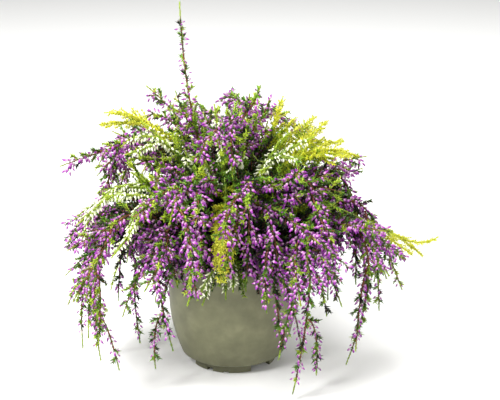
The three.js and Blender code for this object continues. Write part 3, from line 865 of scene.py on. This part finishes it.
def feather(batch, line, role, rng, tone=0.5):
    stem(batch, line, rng, FEATHER_STEM[role], 0.4)
    leafage(batch, line, rng, 0.06, 1, step=1.5, size=2.8, angle=35, tone=tone + 0.1)
    across = unit(np.cross(unit(line[-1] - line[0]), [0, 0, 1.0]))
    length = len(line) - 1
    hangs = line[-1][2] < line[len(line) // 2][2] - HANGS_BY
    far = math.hypot(line[-1][0], line[-1][1])
    begin = 0.05
    if role == "main":
        begin = max(0.3, 1 - (HANGING_LENGTH if hangs else FEATHER_LENGTH) / length)
    widest = WIDE_TWIG if far < FAR_OUT else NARROW_TWIG
    for hand in (1, -1):
        point, tangent, right, front, share = spots(line, rng, begin, 0.97, step=2.3)
        for i in range(len(point)):
            out = unit(hand * across + rng.uniform(-0.7, 0.7) * front[i])
            left = (1 - share[i]) * length
            reach = min(widest, SHORTEST_TWIG + TWIG_GROWTH * widest * left)
            reach *= rng.uniform(*TWIG_SIZES)
            twig = sprig(point[i], tangent[i], out, rng.uniform(0.55, 1.0), reach)
            shade = tone + 0.4 * share[i] + rng.normal(0, 0.08)
            leafage(batch, twig, rng, 0, 1, step=1.6, size=3.2, angle=36, tone=shade)
    if role == "main" and hangs and far < NEAR_POT:
        point, tangent, *_ = spots(line, rng, 0.64, 0.86, step=8)
        for foot, way in zip(point, tangent):
            plume = sprig(foot, way, unit(foot * [1, 1, 0]), PLUME_LEAN, PLUME_LENGTH, PLUME_DROP)
            feather(batch, plume, "side", rng, tone=PLUME_TONE)


# %% [markdown]
# Each spray now gets its stems, leaves and buds in one mesh, which takes the solid's place. Its
# draws come from its own seed, so a change to one spray leaves the others as they are.

# %% Dress every spray
FOOT_COVER, FOOT_THICKNESS, FOOT_TONE = 2, 1.5, 0.4
RULES = {"mauve": mauve_shoot, "white": white_spike, "golden": feather, "green": feather}
FINISHES = {
    "mauve": (bark, dark_leaf, mauve_petal),
    "white": (green_bark, lime_leaf, white_petal),
    "golden": (green_bark, gold_leaf),
    "green": (green_bark, dark_leaf),
}


def stem_foot(batch, line):
    """The bare foot of a main shoot, from deep in the peat up to its collar."""
    foot = line[0] - [0, 0, COLLAR + ROOT_DEPTH - FOOT_COVER]
    way = line[1] - foot
    row = np.hstack([foot, unit(way), np.linalg.norm(way), FOOT_THICKNESS, FOOT_TONE])
    batch[STALKS].append(row[None])


total = 0
for node, kind, seed, shoots in sprays:
    rng = np.random.default_rng(seed)
    batch = {what: [] for what in range(len(FINISHES[kind]))}
    for role, curve in shoots:
        line = trace(curve)
        if role == "main":
            stem_foot(batch, line)
            inner_twigs(batch, line, rng)
            rim_twigs(batch, line, kind == "mauve", rng)
            bright_tufts(batch, line, rng)
        RULES[kind](batch, line, role, rng)
    piece, faces = build(node + "_fine", batch, FINISHES[kind])
    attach(piece, "root")
    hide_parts(node)
    total += faces
    print(node, len(shoots), "shoots", faces, "triangles")
print(total, "triangles in the sprays")

# %% [markdown]
# ## The pot
# A thin moulded bowl of matt plastic: straight near the rim, rounded in below, on a foot ring with
# gaps that let water out. Its wall is a line of corners spun round the axis, so it is round from
# every side. The gaps and the drain holes are cut out after that.

# %% Spin the pot's wall
FOOT_EDGE = 0.6
BOWL_HEIGHTS = (10.5, 12, 14.5, 18, 23, 29, 36, 44, 53, 62, 72, 84, 96)
INNER_HEIGHTS = (84, 60, 40, 24, 14)
RIM_DROP, RIM_ROUND, FOOT_ROUND = 0.8, 0.35, 0.4
POT_STEPS = 120


def bowl_radius(height):
    share = min(max((height - FOOT_HEIGHT) / (WIDEST_HEIGHT - FOOT_HEIGHT), 0), 1)
    return BASE_RADIUS + (POT_RADIUS - BASE_RADIUS) * (1 - (1 - share) ** BOWL_FULLNESS)


def pot_profile():
    """Corners of the wall's outline, from the middle of the bottom out, up, in and down again."""
    bottom = FOOT_HEIGHT + WALL
    foot_inside = FOOT_RADIUS - FOOT_WIDTH
    foot = [(0, FOOT_HEIGHT), (foot_inside, FOOT_HEIGHT),
            (foot_inside, FOOT_ROUND), (foot_inside + FOOT_ROUND, 0),
            (FOOT_RADIUS - FOOT_EDGE, 0), (FOOT_RADIUS, FOOT_EDGE),
            (FOOT_RADIUS, FOOT_HEIGHT - FOOT_EDGE)]
    outer = [(FOOT_RADIUS - FOOT_EDGE, FOOT_HEIGHT), (BASE_RADIUS - 2 * FOOT_EDGE, FOOT_HEIGHT)]
    outer += [(bowl_radius(height), height) for height in BOWL_HEIGHTS]
    rim = [(POT_RADIUS, POT_HEIGHT - RIM_DROP), (POT_RADIUS - RIM_ROUND, POT_HEIGHT),
           (POT_RADIUS - WALL + RIM_ROUND, POT_HEIGHT), (POT_RADIUS - WALL, POT_HEIGHT - RIM_DROP)]
    inner = [(bowl_radius(height) - WALL, height) for height in INNER_HEIGHTS]
    floor = [(BASE_RADIUS - WALL - 1, bottom), (0, bottom)]
    return foot + outer + rim + inner + floor


axis_place = Vector(-MIDDLE * MM)
profile = pot_profile()
mesh = bpy.data.meshes.new("pot_wall")
mesh.from_pydata([(r * MM + axis_place.x, axis_place.y, h * MM) for r, h in profile],
                 [(i, i + 1) for i in range(len(profile) - 1)], [])
pot = into_scene("round_plastic_pot", mesh)
only(pot)
bpy.ops.object.mode_set(mode="EDIT")
bpy.ops.mesh.select_all(action="SELECT")
bpy.ops.mesh.spin(steps=POT_STEPS, angle=2 * math.pi, center=axis_place, axis=(0, 0, 1))
bpy.ops.mesh.select_all(action="SELECT")
bpy.ops.mesh.remove_doubles(threshold=1e-5)
bpy.ops.mesh.normals_make_consistent(inside=False)
bpy.ops.object.mode_set(mode="OBJECT")
print("pot wall", len(pot.data.polygons), "faces")


# %% Cut the gaps in the foot and the drain holes
def cutter(make, place, turn, **size):
    deselect()
    make(location=place, rotation=(0, 0, turn), **size)
    return bpy.context.object


tools = []
for turn in range(NOTCH_TURNS):
    for direction, width, height in NOTCHES:
        turned_to = direction + 360 * turn / NOTCH_TURNS
        middle = polar(turned_to, FOOT_RADIUS - FOOT_WIDTH / 2, 0) - MIDDLE
        across = 2 * FOOT_RADIUS * math.sin(math.radians(width / 2))
        tool = cutter(bpy.ops.mesh.primitive_cube_add, middle * MM, math.radians(turned_to), size=1)
        tool.scale = (3 * FOOT_WIDTH * MM, across * MM, 2 * height * MM)
        tools.append(tool)
for i in range(DRAINS):
    middle = polar(360 * (i + 0.5) / DRAINS, DRAIN_DISTANCE, FOOT_HEIGHT + WALL / 2) - MIDDLE
    tools.append(cutter(bpy.ops.mesh.primitive_cylinder_add, middle * MM, 0,
                        vertices=24, radius=DRAIN_RADIUS * MM, depth=4 * WALL * MM))
deselect()
for tool in tools:
    tool.select_set(True)
bpy.context.view_layer.objects.active = tools[0]
bpy.ops.object.join()
tool = bpy.context.object
bpy.ops.object.transform_apply(location=True, rotation=True, scale=True)
only(pot)
cut = pot.modifiers.new("cut", "BOOLEAN")
cut.object = tool
cut.operation = "DIFFERENCE"
cut.solver = "EXACT"
bpy.ops.object.modifier_apply(modifier=cut.name)
bpy.data.objects.remove(tool)
bpy.ops.object.shade_smooth_by_angle(angle=math.radians(35))
print("cut pot", len(pot.data.polygons), "faces")

# %% [markdown]
# The plastic is matt polypropylene in a grey olive. Recycled stock gives it faint clouds of
# lighter and darker grey about a finger wide, and the mould a fine grain. Towards the floor it
# is painted a little darker, as painted shade.

# %% The pot's finish
CLOUD, GRAIN, GRAIN_DEPTH = 14 * MM, 0.9 * MM, 0.2 * MM
# Painted shade: how far up from the floor the pot is painted darker, and the share of its colour
# left at the bottom
POT_SHADE_BELOW, POT_SHADE_DARKEST = 55 * MM, 0.68
PLASTIC_IOR = 1.49

pot_plastic = start_material("matt_polypropylene_moulded")
place = add(pot_plastic, "ShaderNodeTexCoord")
clouds = add(pot_plastic, "ShaderNodeTexNoise", [(place.outputs["Object"], "Vector")],
             Scale=1 / CLOUD, Detail=3.0, Roughness=0.55)
ramp = add(pot_plastic, "ShaderNodeValToRGB", [(clouds.outputs[0], 0)])
fill_ramp(ramp, [(0.3, "#66664a"), (0.55, "#727254"), (0.75, "#7d7d5e")])
# Painted shade: the colour is darkened towards the floor
height = add(pot_plastic, "ShaderNodeSeparateXYZ", [(place.outputs["Object"], 0)])
low = add(pot_plastic, "ShaderNodeMapRange", [(height.outputs[2], 0)],
          From_Min=0.0, From_Max=POT_SHADE_BELOW, To_Min=POT_SHADE_DARKEST, To_Max=1.0)
toned = add(pot_plastic, "ShaderNodeHueSaturation",
            [(ramp.outputs[0], "Color"), (low.outputs[0], "Value")])
grain = add(pot_plastic, "ShaderNodeTexNoise", [(place.outputs["Object"], "Vector")],
            Scale=1 / GRAIN, Detail=2.0)
bump = add(pot_plastic, "ShaderNodeBump", [(grain.outputs[0], "Height")],
           Strength=0.12, Distance=GRAIN_DEPTH)
shader = add(pot_plastic, "ShaderNodeBsdfPrincipled",
             [(toned.outputs[0], "Base Color"), (bump.outputs[0], "Normal")],
             Roughness=0.52, IOR=PLASTIC_IOR)
finish_material(pot_plastic, shader)
pot.data.materials.append(pot_plastic)
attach(pot, "root")
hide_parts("pot")

# %% [markdown]
# ## The peat
# Damp peat is nearly black, crumbly and matt. The solid already has its soft top and the holes
# for the stems, so it keeps its place and gets a finish, with a scatter of crumbs over it. The
# crumbs lie where its top does: in low mounds over the middle, a little lower towards the wall.

# %% Finish and crumbs of peat
LUMP, LUMP_DEPTH = 3 * MM, 1.5 * MM
CRUMBS, CRUMB_SEED, CRUMB_FIELD = 420, 5, 55
SMALL_CRUMB, LARGE_CRUMB = 0.6, 2.2
MOUND_RADIUS, EDGE_SINK = 28, 2

peat = start_material("damp_peat_crumbled")
place = add(peat, "ShaderNodeTexCoord")
lumps = add(peat, "ShaderNodeTexNoise", [(place.outputs["Object"], "Vector")],
            Scale=1 / LUMP, Detail=4.0, Roughness=0.65)
ramp = add(peat, "ShaderNodeValToRGB", [(lumps.outputs[0], 0)])
fill_ramp(ramp, [(0.3, "#1d1510"), (0.55, "#33261c"), (0.8, "#4a3a2c")])
bump = add(peat, "ShaderNodeBump", [(lumps.outputs[0], "Height")],
           Strength=0.8, Distance=LUMP_DEPTH)
shader = add(peat, "ShaderNodeBsdfPrincipled",
             [(ramp.outputs[0], "Base Color"), (bump.outputs[0], "Normal")], Roughness=0.95)
finish_material(peat, shader)
nodes["soil"].data.materials.clear()
nodes["soil"].data.materials.append(peat)


def peat_level(x, y):
    out = math.hypot(x, y)
    if out >= MOUND_RADIUS:
        return SOIL_HEIGHT - EDGE_SINK * (out - MOUND_RADIUS) / MOUND_RADIUS
    mounds = 1.5 * math.sin(x / 9 + 1) * math.cos(y / 7)
    return SOIL_HEIGHT + mounds + 0.8 * math.sin((x + y) / 4)


deselect()
bpy.ops.mesh.primitive_ico_sphere_add(subdivisions=1, radius=1 * MM)
crumb = bpy.context.object
crumb.name = "peat_crumb"
shape_ring(crumb, -0.1, 2, across=1.2, flat=0.8, lift=-0.2)
crumb_points = np.array([corner.co[:] for corner in crumb.data.vertices]) / MM
crumb_faces = [face.vertices[:] for face in crumb.data.polygons]
bpy.data.objects.remove(crumb)
rng = np.random.default_rng(CRUMB_SEED)
all_corners, all_faces = [], []
for i in range(CRUMBS):
    out = CRUMB_FIELD * math.sqrt(rng.uniform())
    turn = rng.uniform(0, 2 * math.pi)
    size = rng.uniform(SMALL_CRUMB, LARGE_CRUMB)
    x, y = out * math.cos(turn), out * math.sin(turn)
    spin = rng.uniform(0, 2 * math.pi)
    flat = np.array([[math.cos(spin), math.sin(spin)], [-math.sin(spin), math.cos(spin)]])
    shape = crumb_points * size
    shape[:, :2] = shape[:, :2] @ flat
    first = len(all_corners)
    all_faces += [tuple(first + k for k in face) for face in crumb_faces]
    centre = [x, y, peat_level(x, y)]
    all_corners += [tuple((point + centre - MIDDLE) * MM) for point in shape]
mesh = bpy.data.meshes.new("peat_crumbs")
mesh.from_pydata(all_corners, [], all_faces)
mesh.materials.append(peat)
crumbs = into_scene("peat_crumbs", mesh)
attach(crumbs, "root")
print("crumbs", len(mesh.polygons), "faces")

# %% [markdown]
# ## Floor, light and camera
# A pale floor and big soft lights, as in a product photo: the main one at the front on the left,
# a broad weak one at the front on the right, and a broad one high up behind, that lights the top
# of the bush. Lengths are in metres from here on.

# %% Floor and light
BUSH_MIDDLE = (0, 0, 0.12)
FLOOR_SIDE = 8
SKY_STRENGTH = 0.4

bpy.ops.mesh.primitive_plane_add(size=FLOOR_SIDE, location=(0, 0, 0))
floor = bpy.context.object
floor.name = "studio_floor"
paper = start_material("white_paper_backdrop")
shader = add(paper, "ShaderNodeBsdfPrincipled", Roughness=0.9)
shader.inputs["Base Color"].default_value = linear("#f3f3f1")
finish_material(paper, shader)
floor.data.materials.append(paper)
floor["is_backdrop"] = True


def softbox(name, place, size, power):
    """A round soft light, turned to the middle of the bush."""
    light = bpy.data.lights.new(name, "AREA")
    light.shape = "DISK"
    light.size = size
    light.energy = power
    lamp = into_scene(name, light)
    lamp.location = place
    direction = Vector(BUSH_MIDDLE) - Vector(place)
    lamp.rotation_euler = direction.to_track_quat("-Z", "Y").to_euler()
    print(name, power, "watts")


softbox("key_softbox", (-1.2, -1.2, 1.6), size=0.9, power=68)
softbox("fill_softbox", (1.4, -1.2, 0.9), size=1.4, power=15)
softbox("top_softbox", (0.1, 0.8, 1.9), size=1.4, power=38)
world = bpy.data.worlds.new("studio")
bpy.context.scene.world = world
world.use_nodes = True
background = world.node_tree.nodes["Background"]
background.inputs["Color"].default_value = linear("#ffffff")
background.inputs["Strength"].default_value = SKY_STRENGTH

# %% [markdown]
# The camera stands where the photo was taken, a little above the bush and 1.2 metres away, with
# a long lens. The plain view transform keeps the pale floor white and the petals bright.

# %% Camera
CAMERA_PLACE = (0.0025, -1.1802, 0.527)
CAMERA_TARGET = (0.0025, 0.0018, 0.1552)
LENS, SENSOR = 97.3, 36

camera = into_scene("camera", bpy.data.cameras.new("camera"))
camera.data.lens = LENS
camera.data.sensor_width = SENSOR
camera.data.sensor_fit = "HORIZONTAL"
camera.location = CAMERA_PLACE
view = Vector(CAMERA_TARGET) - camera.location
camera.rotation_euler = view.to_track_quat("-Z", "Y").to_euler()
bpy.context.scene.camera = camera
bpy.context.scene.view_settings.view_transform = "Standard"
print("camera", round(view.length, 2), "metres away")

# %% [markdown]
# Last, the boxes round the plain solids and round the dressed plant are written down, in metres.

# %% Sizes and the last line
size = {"cad": [list(map(float, corner)) for corner in cad_box],
        "visual": [list(map(float, corner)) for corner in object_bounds()]}
print(size)
